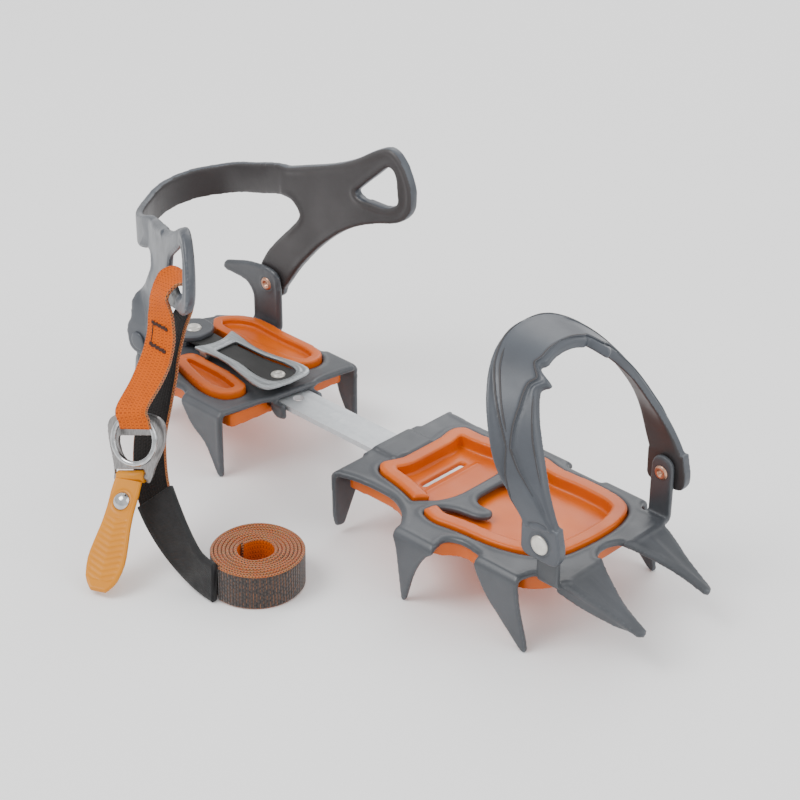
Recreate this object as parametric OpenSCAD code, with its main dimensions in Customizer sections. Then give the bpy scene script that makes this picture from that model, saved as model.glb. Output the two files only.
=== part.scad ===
// Right-foot classic crampon: steel front and heel sections joined by a linking bar,
// flexible toe and heel bails, anti-balling plates, a lock lever and a strap with buckle.
// Millimetres. +X points to the toe, +Z is up, the points stand on z = 0.

/* [Frames] */
// Height of the top faces of both steel sections above the floor
deck_z = 39; // [36:0.5:42]
// Thickness of the pressed steel sheet
sheet_t = 3; // [2.5:0.1:3.2]
// Outer radius where a tooth or a lug is folded from the sheet
fold_r = 4.5; // [4:0.1:5]
// Angle of the front points below the deck
point_slope = 22; // [18:1:24]
// Height of the short rear points of the front section above the floor
short_tip_z = 4.6; // [3:0.2:8]

/* [Linking bar] */
// Width of the linking bar
bar_w = 19.5; // [18:0.1:20]
// Thickness of the linking bar
bar_t = 3; // [2.5:0.1:3]
// Diameter of the adjustment holes
bar_hole_d = 6; // [5:0.1:6.5]
// Distance between adjustment holes
bar_pitch = 15.5; // [15:0.5:16]

/* [Toe bail] */
// Distance of the toe bail hinge ahead of the rear edge of the front section
toe_hinge_x = 145; // [144:0.5:146]
// Height of the toe bail hinge
toe_hinge_z = 63; // [62:0.5:64]
// Thickness of both plastic bails
bail_t = 5; // [4:0.2:5]

/* [Heel section] */
// Distance of the heel bail hinge behind the rear edge of the front section
heel_hinge_x = -137.5; // [-139:0.5:-136]
// Height of the heel bail hinge
heel_hinge_z = 64; // [63:0.5:65]
// Angle between the front edge of the heel section and a square cut
heel_skew = 9; // [7:1:10]

/* [Fasteners] */
// Diameter of the rivet shanks
rivet_d = 5; // [4.5:0.1:5.5]
// Diameter of the flat rivet heads
rivet_head_d = 10; // [9:0.2:11]

/* [Strap] */
// Width of the webbing
web_w = 20; // [18:0.5:20]
// Thickness of the webbing
web_t = 2; // [1.6:0.1:2.2]
// Outer diameter of the coil of webbing
coil_d = 50; // [48:0.5:52]
// Diameter of the hole in the middle of the coil
coil_hole_d = 17; // [14:0.5:20]

/* [Hidden] */
$fn = 48;

// Centre of the plan box of everything but the strap, so that the origin is below it
origin_x = 0.32;
origin_y = 22.57;

steel = "slategray";
orange = "darkorange";
zinc = "silver";

deck_under = deck_z - sheet_t;
bar_top = deck_under - 0.5;
bar_low = bar_top - bar_t;
plate_low = deck_under - 8;
fit_gap = 0.3;
lug_out = 43;                        // outer faces of the toe lugs, either side of y = 0
heel_lug_out = 45;                   // outer faces of the heel lugs
washer_t = 0.6;
toe_arm_in = lug_out + washer_t;     // inner faces of the toe bail eyes
heel_arm_in = heel_lug_out + washer_t;
pin_x = -84;                         // place of the lock pin along the bar

function unit(v) = v / norm(v);
function lerp(a, b, t) = a + (b - a) * t;
function ease(t) = let (c = min(1, max(0, t))) c * c * (3 - 2 * c);

// Points of a rounded outline: every vertex is [x, y, run], and its corner is cut by a curve
// that starts and ends the given run away from it.
function corner(p, c, n, run, steps = 4) =
    let (a = [c.x, c.y], u = [p.x, p.y] - a, v = [n.x, n.y] - a,
         s = a + unit(u) * min(run, 0.48 * norm(u)), e = a + unit(v) * min(run, 0.48 * norm(v)))
    run == 0 ? [a] : [for (i = [0:steps]) let (t = i / steps)
        s * (1 - t) * (1 - t) + a * 2 * t * (1 - t) + e * t * t];
function rounded(pts) = let (m = len(pts))
    [for (i = [0:m - 1]) each corner(pts[(i + m - 1) % m], pts[i], pts[(i + 1) % m], pts[i].z)];
function flip(pts) = [for (i = [len(pts) - 1:-1:0]) [pts[i].x, -pts[i].y, pts[i].z]];

// Solid skin over rows of corner points, closed at both ends.
module loft(rows) {
    m = len(rows[0]);
    last = len(rows) - 1;
    points = [for (row = rows) each row];
    sides = [for (i = [0:last - 1], j = [0:m - 1]) let (k = (j + 1) % m)
        each [[i * m + j, (i + 1) * m + k, i * m + k], [i * m + j, (i + 1) * m + j, (i + 1) * m + k]]];
    caps = [[for (j = [0:m - 1]) j], [for (j = [m - 1:-1:0]) last * m + j]];
    polyhedron(points = points, faces = concat(sides, caps), convexity = 6);
}

// A smooth curve through the points of a path: so many steps from one point to the next.
function bend(a, b, c, d, t) = 0.5 * (2 * b + (c - a) * t + (2 * a - 5 * b + 4 * c - d) * t * t
    + (3 * b - 3 * c + d - a) * t * t * t);
function eased(path, steps) = let (m = len(path) - 1) concat(
    [for (i = [0:m - 1], k = [0:steps - 1])
        bend(path[max(i - 1, 0)], path[i], path[i + 1], path[min(i + 2, m)], k / steps)], [path[m]]);

// Rows of a flat band that runs along a path: w[i] is the direction across the band.
function band_rows(path, w, width, t) = [for (i = [0:len(path) - 1])
    let (d = unit(path[min(i + 1, len(path) - 1)] - path[max(i - 1, 0)]),
         a = unit(w[i] - d * (w[i] * d)), n = cross(d, a), h = width[i] / 2)
    [path[i] - a * h - n * t / 2, path[i] + a * h - n * t / 2,
     path[i] + a * h + n * t / 2, path[i] - a * h + n * t / 2]];

module place() translate([origin_x, origin_y, 0]) children();
module flat(pts, z, t) translate([0, 0, z]) linear_extrude(height = t) polygon(rounded(pts));
module side(pts, y, t) translate([0, y + t, 0]) rotate([90, 0, 0])
    linear_extrude(height = t) polygon(rounded(pts));
module across(pts, x, t) translate([x, 0, 0]) rotate([90, 0, 90])
    linear_extrude(height = t) polygon(rounded(pts));
module pin_y(d, y0, y1) translate([0, y1, 0]) rotate([90, 0, 0]) cylinder(d = d, h = y1 - y0);

// A quarter of a tube along X: the fold between the deck and a part at its side.
// side_sign is +1 or -1 for the far or the near side, up is +1 for a lug and -1 for a tooth.
module fold_x(x0, x1, y_out, side_sign, up) {
    zc = up > 0 ? deck_under + fold_r : deck_z - fold_r;
    yc = y_out - side_sign * fold_r;
    translate([x0, yc, zc]) intersection() {
        rotate([0, 90, 0]) difference() {
            cylinder(r = fold_r, h = x1 - x0);
            translate([0, 0, -1]) cylinder(r = fold_r - sheet_t, h = x1 - x0 + 2);
        }
        translate([0, side_sign > 0 ? 0 : -fold_r, up > 0 ? -fold_r : 0])
            cube([x1 - x0, fold_r, fold_r]);
    }
}

// The same fold along Y, for the short points at the rear edge of the front section.
module fold_y(y0, y1) translate([fold_r, y0, deck_z - fold_r]) intersection() {
    rotate([-90, 0, 0]) difference() {
        cylinder(r = fold_r, h = y1 - y0);
        translate([0, 0, -1]) cylinder(r = fold_r - sheet_t, h = y1 - y0 + 2);
    }
    translate([-fold_r, 0, 0]) cube([fold_r, y1 - y0, fold_r]);
}

// ---------------------------------------------------------------- front section

// Half outlines of the deck, from the rear edge forward: the outer side of the foot (near)
// bulges further out at its third point than the inner side does.
near_edge = [[fold_r, -42.5, 3], [13, -39.5, 5], [27, -38, 6], [41, -38.5, 8], [53, -45, 6],
    [60, -54, 3], [60, -55.7, 0], [86, -55.7, 0], [84, -47.5, 5], [93, -44, 6], [105, -46, 2],
    [106, -47.2, 0], [133, -47.2, 0], [134.5, -40, 3], [138, -38.7, 0], [151, -38.7, 0],
    [152.5, -35, 1]];
far_edge = [[fold_r, 42.5, 3], [27, 41, 6], [50, 42, 6], [60, 45, 2], [60, 45.7, 0], [82, 45.7, 0],
    [84, 43.5, 3], [105, 43.5, 2], [106, 44, 0], [132, 44, 0], [134, 40, 3], [138, 38.7, 0],
    [151, 38.7, 0], [152.5, 35, 1]];
notch = [[152.5, -12, 3], [146, -8, 6], [143.5, 0, 7], [146, 8, 6], [152.5, 12, 3]];
front_edge = concat(near_edge, notch, [for (i = [len(far_edge) - 1:-1:0]) far_edge[i]]);
deck_window = [[14, -22, 4], [19.5, -27.5, 5], [38, -30.5, 8], [52, -35, 6], [60, -38.5, 5],
    [70, -42, 5], [84, -39, 8], [104, -37.5, 8], [120, -33, 8], [135, -22, 8], [138, 0, 12],
    [137.5, 20, 8], [132, 34, 6], [121, 38.5, 6], [101, 39, 6], [84, 37.5, 6], [72, 41, 5],
    [60, 39, 6], [35, 34, 8], [21, 34.5, 4], [17, 28, 4], [19.5, 16, 3], [19.5, -10, 3]];
brace_half = [[49, -40, 0], [50.5, -32.5, 3], [58, -26, 4], [62, -16, 5], [62.3, 0, 0], [70, 0, 0],
    [70, -10, 4], [76, -14.5, 4], [84, -13, 3], [87.5, -18, 4], [83, -23.5, 4], [70, -25.5, 4],
    [62, -30, 4], [60, -42, 0]];

module side_tooth(pts, y_out, side_sign) {
    side(pts, side_sign > 0 ? y_out - sheet_t : y_out, sheet_t);
    fold_x(pts[0].x, pts[len(pts) - 1].x, y_out, side_sign, -1);
}
fold_low = deck_z - fold_r;
third_near = [[60, fold_low, 0], [62, 30, 6], [66, 0, 0.6], [68.5, 0, 0.6], [74, 19, 8],
    [81, 31, 8], [86, fold_low, 0]];
third_far = [[60, fold_low, 0], [61, 30, 6], [64.5, 0, 0.6], [67, 0, 0.6], [72, 19, 8],
    [78, 31, 8], [82, fold_low, 0]];
second = [[106, fold_low, 0], [108, 30, 6], [114, 21, 6], [137, 0, 0.6], [140, 0, 0.8],
    [139.5, 5, 1], [134, 24, 8], [133, fold_low, 0]];
second_far = [for (p = second) [min(p.x, 132 + max(0, (fold_low - p.y) * 0.25)), p.y, p.z]];
short_point = [[-43, fold_low, 0], [-42.6, 12, 4], [-41, short_tip_z + 0.5, 0.8],
    [-35.5, short_tip_z, 1.2], [-31, 14, 6], [-20, fold_low, 0]];

// One front point, drawn flat from the fold at its root, then tilted down.
point_length = 43.5;
point_root = [[-1, 8, 0], [5, 11.5, 4], [24, 19.5, 10], [point_length - 1, 22.3, 0.8],
    [point_length, 24.6, 1], [point_length - 2, 27.5, 1.2], [24, 30.3, 14], [8, 35.5, 6], [-1, 36.5, 0]];
module front_point(side_sign)
    translate([150.5, 0, deck_z]) rotate([0, point_slope, 0]) translate([0, 0, -sheet_t])
        linear_extrude(height = sheet_t)
            polygon(rounded(side_sign > 0 ? point_root : flip(point_root)));
// Folded rib along the outer edge of a front point, which stiffens it.
rib_outline = [[-3, -1.2, 0], [-3, -7.5, 2], [12, -8, 8], [32, -5, 8], [point_length - 3, -1, 1],
    [point_length - 3, 1, 0], [-3, 1, 0]];
module point_rib(side_sign)
    translate([150.5, side_sign * 36.3, deck_z - 2]) rotate([0, point_slope, 0])
        rotate([0, 0, -side_sign * 14.5]) translate([0, side_sign > 0 ? 0 : 2.4, 0])
            rotate([90, 0, 0]) linear_extrude(height = 2.4) polygon(rounded(rib_outline));

lug_outline = [[138, deck_under + fold_r, 0], [138.4, 66, 3], [140, 70.5, 4], [145, 72.5, 4],
    [150.5, 70, 4], [151.6, 66, 3], [151, deck_under + fold_r, 0]];
module toe_lug(side_sign) {
    side(lug_outline, side_sign > 0 ? lug_out - sheet_t : -lug_out, sheet_t);
    fold_x(138, 151, side_sign * lug_out, side_sign, 1);
}

module front_frame() place() color(steel) difference() {
    union() {
        translate([0, 0, deck_under]) linear_extrude(height = sheet_t) {
            difference() {
                polygon(rounded(front_edge));
                polygon(rounded(deck_window));
            }
            polygon(rounded(brace_half));
            polygon(rounded(flip(brace_half)));
            translate([0, -20]) square([fold_r + 1, 40]);
        }
        // raised bridge over the linking bar
        translate([0.7, -13, deck_under + 0.6]) cube([16.8, 26, sheet_t + 0.6]);
        for (s = [-1, 1]) {
            across([for (p = short_point) [-s * p.x, p.y, p.z]], 0, sheet_t);
            front_point(s);
            point_rib(s);
            toe_lug(s);
        }
        fold_y(-43, -20);
        fold_y(20, 43);
        side_tooth(third_near, -60, -1);
        side_tooth(third_far, 50, 1);
        side_tooth(second, -51.5, -1);
        side_tooth(second_far, 48.3, 1);
    }
    translate([toe_hinge_x, 0, toe_hinge_z]) pin_y(rivet_d, -60, 60);
}

// Orange plate that keeps snow from sticking: a shell below the deck with a raised tray
// that fills the window.
skirt = [[5, -36, 4], [27, -34.5, 6], [42, -35.5, 6], [55, -44, 6], [63, -51, 4], [82, -50, 4],
    [90, -42, 6], [104, -44, 4], [130, -43, 4], [140, -33, 6], [141, 0, 6], [140, 33, 6],
    [130, 40.5, 5], [104, 41, 4], [88, 40, 4], [80, 42, 4], [62, 42, 4], [50, 39, 6], [27, 38, 6],
    [5, 36, 4]];
module inset(pts, z, t, d) translate([0, 0, z]) linear_extrude(height = t)
    offset(delta = -d) polygon(rounded(pts));
brace_room = 0.35;
module front_antiball_plate() place() color(orange) difference() {
    union() {
        flat(skirt, plate_low, deck_under - plate_low);
        inset(deck_window, deck_under - 0.5, sheet_t + 2, fit_gap);
    }
    // tray, open slot, channel for the bar, underside hollow
    inset(deck_window, deck_under - 2, 12, 8);
    translate([36.2, -15.5, 0]) cube([3.6, 30.5, 60]);
    translate([-1, -bar_w / 2 - 0.6, bar_low - 2.2]) cube([27.8, bar_w + 1.2, bar_t + 2.9]);
    translate([0, 0, deck_under - 0.2]) linear_extrude(height = 20) offset(delta = brace_room) {
        polygon(rounded(brace_half));
        polygon(rounded(flip(brace_half)));
    }
    inset(skirt, plate_low - 1, 4.2, 5);
}

module rivet(head_d, head_h, y_head, y_tail, side_sign) {
    lo = min(y_head, y_tail);
    hi = max(y_head, y_tail);
    pin_y(rivet_d, lo, hi);
    pin_y(head_d, side_sign > 0 ? y_head : y_head - head_h, side_sign > 0 ? y_head + head_h : y_head);
}
// Flat heads outside the bail eyes, and tubular tails spread inside the lugs.
module hinge_rivets(eye_in, lug_outer) difference() {
    for (s = [-1, 1]) {
        rivet(rivet_head_d, 1.4, s * (eye_in + bail_t), s * (lug_outer - sheet_t - 1), s);
        y0 = lug_outer - sheet_t - 1;
        y1 = lug_outer - sheet_t;
        pin_y(rivet_d + 2.6, s > 0 ? y0 : -y1, s > 0 ? y1 : -y0);
    }
    for (s = [-1, 1]) pin_y(rivet_d - 2, s > 0 ? lug_outer - sheet_t - 2 : -lug_outer - 1,
        s > 0 ? lug_outer + 1 : -lug_outer + sheet_t + 2);
}
module washers(inner_y) for (s = [-1, 1]) difference() {
    pin_y(12, s > 0 ? inner_y : -inner_y - washer_t, s > 0 ? inner_y + washer_t : -inner_y);
    pin_y(rivet_d, -80, 80);
}
module toe_bail_rivets() place() color(zinc)
    translate([toe_hinge_x, 0, toe_hinge_z]) hinge_rivets(toe_arm_in, lug_out);
module toe_bail_washers() place() color("dimgray")
    translate([toe_hinge_x, 0, toe_hinge_z]) washers(lug_out);

// Both long edges of the toe bail are arches: the rear one is wider and higher than the front
// one, so the band hugs the boot like a cone. a runs from 0 at the near eye to 180 at the far.
arch_power = 2.2;
function arch_side(a) = let (c = cos(a)) -sign(c) * pow(abs(c), 2 / arch_power);
function arch_rise(a) = pow(abs(sin(a)), 2 / arch_power);
function rear_arch(a) = let (h = arch_rise(a))
    [135.5 - 48 * h + 7 * h * (1 - h), 56.5 * arch_side(a), 68 + 73 * h];
function front_arch(a) = let (h = arch_rise(a))
    [154.5 - 40 * h + 4 * h * (1 - h), 45.5 * arch_side(a), 71 + 67 * h];
// Two small hooks on the front edge, one on each side of the top.
function bump(x) = exp(-x * x);
function hook(a) = let (b = min(a, 180 - a)) 5 * bump((b - 61.5) / 3.4) - 2 * bump((b - 69) / 2.8);
arm_out = toe_arm_in + bail_t;
// Near the eyes the faces turn parallel to the lugs.
function settle(p) = let (k = ease((p.z - 70) / 34))
    [p.x, sign(p.y) * lerp(arm_out, abs(p.y), abs(p.y) > 30 ? k : 1), p.z];
function inward(p, d) = let (s = min(1, abs(p.y) / 38), r = sqrt(1 - s * s * 0.98))
    p + d * [0.1 * r, -sign(p.y) * s, -r];
arch_steps = 72;
function toe_row(a) = let (b = settle(rear_arch(a)), c = settle(front_arch(a)),
    f = c + unit(c - b) * hook(a))
    [b, f, inward(f, bail_t), inward(b, bail_t)];
// The end of a bail arm round its rivet hole: blunt below, and as wide as the arm.
function arm_end(w, low) = [[-w, 4, 4], [-w, -low + 3, 5], [-w + 6, -low, 6], [w - 6, -low, 6],
    [w, -low + 3, 5], [w, 4, 4], [w - 5, 9, 4], [5 - w, 9, 4]];
module bail_eye(y_in, w, low, s) side(arm_end(w, low), s > 0 ? y_in : -y_in - bail_t, bail_t);
module toe_bail() place() color(steel) {
    translate([toe_hinge_x, 0, toe_hinge_z]) difference() {
        union() for (s = [-1, 1]) bail_eye(toe_arm_in, 12, 9, s);
        pin_y(rivet_d + 0.5, -90, 90);
    }
    difference() {
        loft([for (i = [0:arch_steps]) toe_row(lerp(1, 179, i / arch_steps))]);
        translate([toe_hinge_x, 0, toe_hinge_z]) pin_y(rivet_d + 0.5, -90, 90);
    }
}

// ---------------------------------------------------------------- linking bar

bar_rear = -160;
bar_front = 25.5;
bar_holes = 6;
stop_x = 19;
module link_bar() place() color(zinc) difference() {
    translate([bar_rear, -bar_w / 2, bar_low]) cube([bar_front - bar_rear, bar_w, bar_t]);
    for (i = [0:bar_holes - 1]) translate([pin_x + bar_pitch * (1 - i), 0, bar_low - 1])
        cylinder(d = bar_hole_d, h = bar_t + 2);
    translate([stop_x, 0, bar_low - 1]) cylinder(d = rivet_d, h = bar_t + 2);
}
module bar_end_stop() place() color(zinc) translate([stop_x, 0, bar_low - 1.5]) {
    cylinder(d = rivet_d, h = bar_t + 1.5);
    cylinder(d = rivet_d + 4, h = 1.5);
}

// ---------------------------------------------------------------- heel section

skew_run = tan(heel_skew);
function front_x(y) = -74 + y * skew_run;
heel_edge = [[front_x(-41) - 0.5, -41.2, 0], [-112, -41.2, 0], [-119, -38, 5], [-127, -40.7, 2],
    [-128, -40.7, 0], [-148, -40.7, 0], [-152, -39, 3], [-163, -28, 3], [-170, -14, 6],
    [-172, 0, 8], [-172, 14, 8], [-166, 27, 3], [-153, 39, 3], [-149, 40.7, 0], [-128, 40.7, 0],
    [-120, 40.5, 3], [-112, 41.5, 4], [-92, 41.2, 0], [front_x(41) + 0.5, 41.2, 0],
    [front_x(32), 32, 4], [front_x(18), 18, 2], [front_x(14) + 2, 14, 1], [front_x(-14) + 2, -14, 1],
    [front_x(-18), -18, 2], [front_x(-32), -32, 4]];
near_lobe = [[-138, -13, 4], [-142, -25, 5], [-119, -32.5, 8], [-103, -35.5, 6], [-91, -33, 5],
    [-87, -25, 5], [-89, -17, 4], [-107, -13.5, 6]];
far_lobe = [[-152, 13.5, 4], [-161, 22, 5], [-153, 34, 6], [-140, 39.5, 6], [-117, 38, 8],
    [-97, 38.5, 6], [-86, 36, 5], [-82, 29, 5], [-84, 19, 5], [-96, 14.5, 6], [-125, 13, 8]];
heel_front_near = [[-112, fold_low, 0], [-108, 28, 5], [-103, 22, 4], [-94, 17, 5], [-84.5, 0, 0.8],
    [-81.5, 0, 0.5], [-81, fold_low, 0]];
heel_front_far = [for (p = heel_front_near) [p.x + (p.x < -100 ? 20 : 12), p.y, p.z]];
rear_tooth = [[-8.5, fold_low, 0], [-7, 27, 5], [-1.5, 0, 0.8], [1.5, 0, 0.5], [7, 26, 5],
    [8.5, fold_low, 0]];
rear_turn = 42;
far_lug = [[-149, deck_under + fold_r, 0], [-149, 54, 3], [-154, 60, 4], [-174, 61, 2.5],
    [-173, 66, 2.5], [-154, 72, 5], [-138, 74, 5], [-128.5, 72, 5], [-127.5, 62, 2],
    [-127.5, deck_under + fold_r, 0]];
near_lug = [[-147, deck_under + fold_r, 0], [-147.5, 58, 3], [-146, 70, 4], [-138, 74, 4],
    [-129.5, 71, 4], [-128, 59, 3], [-128, deck_under + fold_r, 0]];
ear = [[-79, deck_under, 0], [-77, 30, 2], [-73, 26.5, 2], [-66, 28, 2], [-67, deck_under, 0]];

module heel_frame() place() color(steel) difference() {
    union() {
        difference() {
            flat(heel_edge, deck_under, sheet_t);
            translate([0, 0, -1]) flat(near_lobe, deck_under, sheet_t + 2);
            translate([0, 0, -1]) flat(far_lobe, deck_under, sheet_t + 2);
        }
        side_tooth(heel_front_near, -45.5, -1);
        side_tooth(heel_front_far, 45.5, 1);
        translate([-157.2, -32.7, 0]) rotate([0, 0, -rear_turn]) side_tooth(rear_tooth, -fold_r, -1);
        translate([-159.2, 32.3, 0]) rotate([0, 0, rear_turn]) side_tooth(rear_tooth, fold_r, 1);
        side(far_lug, heel_lug_out - sheet_t, sheet_t);
        fold_x(-149, -127.5, heel_lug_out, 1, 1);
        side(near_lug, -heel_lug_out, sheet_t);
        fold_x(-147, -128, -heel_lug_out, -1, 1);
        // ears that guide the bar
        side(ear, -bar_w / 2 - 0.4 - 2.4, 2.4);
        translate([4, 0, 0]) side(ear, bar_w / 2 + 0.4, 2.4);
    }
    translate([heel_hinge_x, 0, heel_hinge_z]) pin_y(rivet_d, -60, 60);
    translate([pin_x, 0, 0]) cylinder(d = bar_hole_d + 1, h = 80);
    translate([-152, 0, 0]) cylinder(d = rivet_d, h = 80);
}

heel_skirt = [[-80, -38, 3], [-112, -38, 5], [-120, -36, 5], [-143, -38, 5], [-150, -26, 8],
    [-158, -14, 5], [-160, 14, 5], [-154, 32, 6], [-146, 41, 4], [-112, 39.5, 4], [-74, 39, 4]];
module lobe_top(pts) difference() {
    inset(pts, deck_under - 0.5, sheet_t + 3.5, fit_gap);
    inset(pts, deck_z - 0.5, 6, 6);
}
module heel_antiball_plate() place() color(orange) difference() {
    union() {
        flat(heel_skirt, plate_low, deck_under - plate_low);
        lobe_top(near_lobe);
        lobe_top(far_lobe);
    }
    translate([-200, -bar_w / 2 - 3.4, bar_low - 0.6]) cube([200, bar_w + 6.8, deck_under]);
    translate([-152, 0, 0]) cylinder(d = rivet_d, h = 80);
    inset(heel_skirt, plate_low - 1, 3.2, 5);
}

// Clamp at the rear that holds the root of the blade.
blade_z = deck_z + 3.4;
blade_t = 1.5;
clamp_outline = [[-163, -6, 3], [-163, 6, 3], [-157, 12, 3], [-147, 11, 3], [-142, 5, 3],
    [-142, -5, 3], [-147, -11, 3], [-157, -12, 3]];
module clamp_rivet() place() color(zinc) translate([-152, 0, 0]) {
    translate([0, 0, deck_under]) cylinder(d = rivet_d, h = blade_z + blade_t + 3 - deck_under);
    translate([0, 0, blade_z + blade_t + 3]) cylinder(d = rivet_d + 4, h = 1.2);
}
module blade_clamp() place() color(steel) difference() {
    union() {
        flat(clamp_outline, blade_z + blade_t, 3);
        translate([-163, -9, deck_z]) cube([14, 18, blade_z - deck_z]);
        translate([-163, -6, deck_z]) cube([2.5, 12, blade_z + blade_t - deck_z + 1]);
    }
    translate([-152, 0, 0]) cylinder(d = rivet_d, h = 80);
}

lever_z = deck_z + 5;
lever_t = 1.6;
lever_hinge_x = -131;
foot_d = 5.6;
foot_z = lever_z + 0.8 - foot_d / 2;
lever_outline = [[-138, -13, 2], [-134, -6, 6], [-132.5, 2, 6], [-134, 8, 6], [-137, 14.5, 2],
    [-126, 13, 6], [-112, 10, 8], [-96, 12, 8], [-82, 15.5, 6], [-72, 14, 5], [-71, 0, 8],
    [-74, -16, 5], [-82, -18.5, 6], [-98, -15, 8], [-116, -11, 8]];
lever_window = [[-126, -7, 1], [-126, 7.5, 1], [-104, 7.5, 4], [-90, 10, 6], [-78, 9.5, 8],
    [-74.5, 0, 8], [-78, -9.5, 8], [-90, -10.5, 6], [-104, -7.5, 4]];
module lock_lever() place() color(zinc) {
    difference() {
        flat(lever_outline, lever_z, lever_t);
        translate([0, 0, -1]) flat(lever_window, lever_z, lever_t + 2);
    }
    // rolled feet that the lever turns on
    for (y = [-12.5, 9.3]) translate([lever_hinge_x, y, foot_z])
        rotate([-90, 0, 0]) cylinder(d = foot_d, h = 3.2);
}
blade_outline = [[-160.2, -8, 2], [-160.2, 8, 2], [-128, 6.6, 4], [-100, 6.4, 4], [-92, 8.4, 3],
    [-84, 9.2, 7], [-75.5, 6, 6], [-75.5, -6, 6], [-84, -9.2, 7], [-92, -8.4, 3], [-100, -6.4, 4],
    [-128, -6.6, 4]];
module lock_blade() place() color("darkslategray") {
    difference() {
        flat(blade_outline, blade_z, blade_t);
        translate([-152, 0, 0]) cylinder(d = rivet_d, h = 80);
    }
    // lock pin
    translate([pin_x, 0, bar_low]) cylinder(d = bar_hole_d - 0.4, h = blade_z - bar_low + 0.1);
}
module blade_rivet() place() color(zinc) translate([pin_x, 0, blade_z + blade_t])
    cylinder(d = 8, h = 1.4);

// ---------------------------------------------------------------- heel bail

// Each side of the heel bail is a stem with a three-cornered window. The near side flares
// outward ahead of its eye, as the strap pulls it. Outlines are drawn as seen from the side.
stem = [[-146, 58, 4], [-142, 55.5, 4], [-133.5, 55.5, 4], [-126.5, 64, 8], [-114.5, 81.5, 10],
    [-98.5, 99.5, 12], [-80.5, 114.5, 14], [-61.5, 124, 12], [-42.5, 129.5, 10], [-33.5, 137.5, 8],
    [-33, 150.5, 10], [-40.5, 164.5, 8], [-50.5, 170.5, 7], [-62.5, 164.5, 8], [-75.5, 155.5, 12],
    [-92.5, 147.5, 14], [-125.5, 136, 10], [-131, 134.5, 0], [-131, 118, 0], [-122.5, 118.5, 8],
    [-114.5, 111.5, 8], [-120.5, 104, 10], [-139.5, 84.5, 12], [-148.5, 68.5, 6]];
stem_window = [[-75.5, 137, 3], [-50.5, 160, 4], [-45.5, 156.5, 4], [-43, 140.5, 3],
    [-50.5, 136, 4], [-70.5, 135, 2]];
near_window = [[-83, 131, 3], [-81.5, 139, 4], [-52, 161.5, 4], [-45.5, 157, 4], [-43, 140.5, 3],
    [-50.5, 134, 4], [-70, 130, 2]];
lean_z = heel_hinge_z + 10;
flare_x = -131;
// Slants a side panel sideways: by so much for each millimetre forward of x0 or above z0.
module slant(per_x, x0, per_z, z0, back = 0)
    multmatrix([[1, 0, -back, back * lean_z], [per_x, 1, per_z, -per_x * x0 - per_z * z0],
        [0, 0, 1, 0], [0, 0, 0, 1]]) children();
module within(x0, x1, z0, z1) intersection() {
    children();
    translate([x0, -90, z0]) cube([x1 - x0, 180, z1 - z0]);
}
module bail_panel(y) difference() {
    side(stem, y, bail_t);
    side(y < 0 ? near_window : stem_window, y - 1, bail_t + 2);
}
module bail_side(y, flare, lean, back) {
    within(-200, flare_x, 0, lean_z) bail_panel(y);
    slant(flare, flare_x, 0, 0) within(flare_x, 0, 0, lean_z) bail_panel(y);
    slant(0, 0, lean, lean_z, back) within(-200, flare_x, lean_z, 200) bail_panel(y);
    slant(flare, flare_x, lean, lean_z, back) within(flare_x, 0, lean_z, 200) bail_panel(y);
}
near_flare = -0.614;
near_lean = 0.134;
near_back = 0.035;
far_lean = 0.06;
// Rear band, from the near side round the heel to the far side.
rear_path = [[-119, -47, 126.5], [-131, -41, 126.5], [-145, -35.5, 120.5], [-159, -27.5, 114.5],
    [-171, -17, 110.5], [-181, -4, 108.5], [-187.5, 10, 109.5], [-189, 23, 110.5], [-186.5, 36, 111.5],
    [-180, 46.5, 112.5], [-169, 52.5, 115.5], [-154, 53.5, 119.5], [-141, 52, 124],
    [-131, 51.4, 126.5], [-119, 51.4, 126.5]];
rear_curve = eased(rear_path, 4);
rear_width = [for (p = rear_curve) 17.5];
rear_up = [for (p = rear_curve) [0, 0, 1]];
module heel_bail() place() color(steel) difference() {
    union() {
        bail_side(heel_arm_in, 0, far_lean, 0);
        bail_side(-heel_arm_in - bail_t, near_flare, near_lean, near_back);
        loft(band_rows(rear_curve, rear_up, rear_width, bail_t - 0.6));
        translate([heel_hinge_x, 0, heel_hinge_z])
            for (s = [-1, 1]) bail_eye(heel_arm_in, 9.5, 9, s);
    }
    translate([heel_hinge_x, 0, heel_hinge_z]) pin_y(rivet_d + 0.5, -90, 90);
}
module heel_bail_rivets() place() color(zinc)
    translate([heel_hinge_x, 0, heel_hinge_z]) hinge_rivets(heel_arm_in, heel_lug_out);
module heel_bail_washers() place() color("dimgray")
    translate([heel_hinge_x, 0, heel_hinge_z]) washers(heel_lug_out);

// ---------------------------------------------------------------- strap

x_dir = [1, 0, 0];
loop_path = [[-70.3, -71, 126.5], [-70.8, -71.8, 131], [-71.2, -76, 134.6], [-71.6, -82, 135],
    [-71.8, -87, 131.5], [-71.5, -88.8, 126], [-69.5, -90.2, 119], [-67, -93, 109],
    [-64.6, -99, 99.5], [-60.9, -110, 92.6], [-57.3, -123.7, 84.9], [-55.3, -124.6, 79.2],
    [-54.4, -124.6, 75.3]];
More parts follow.
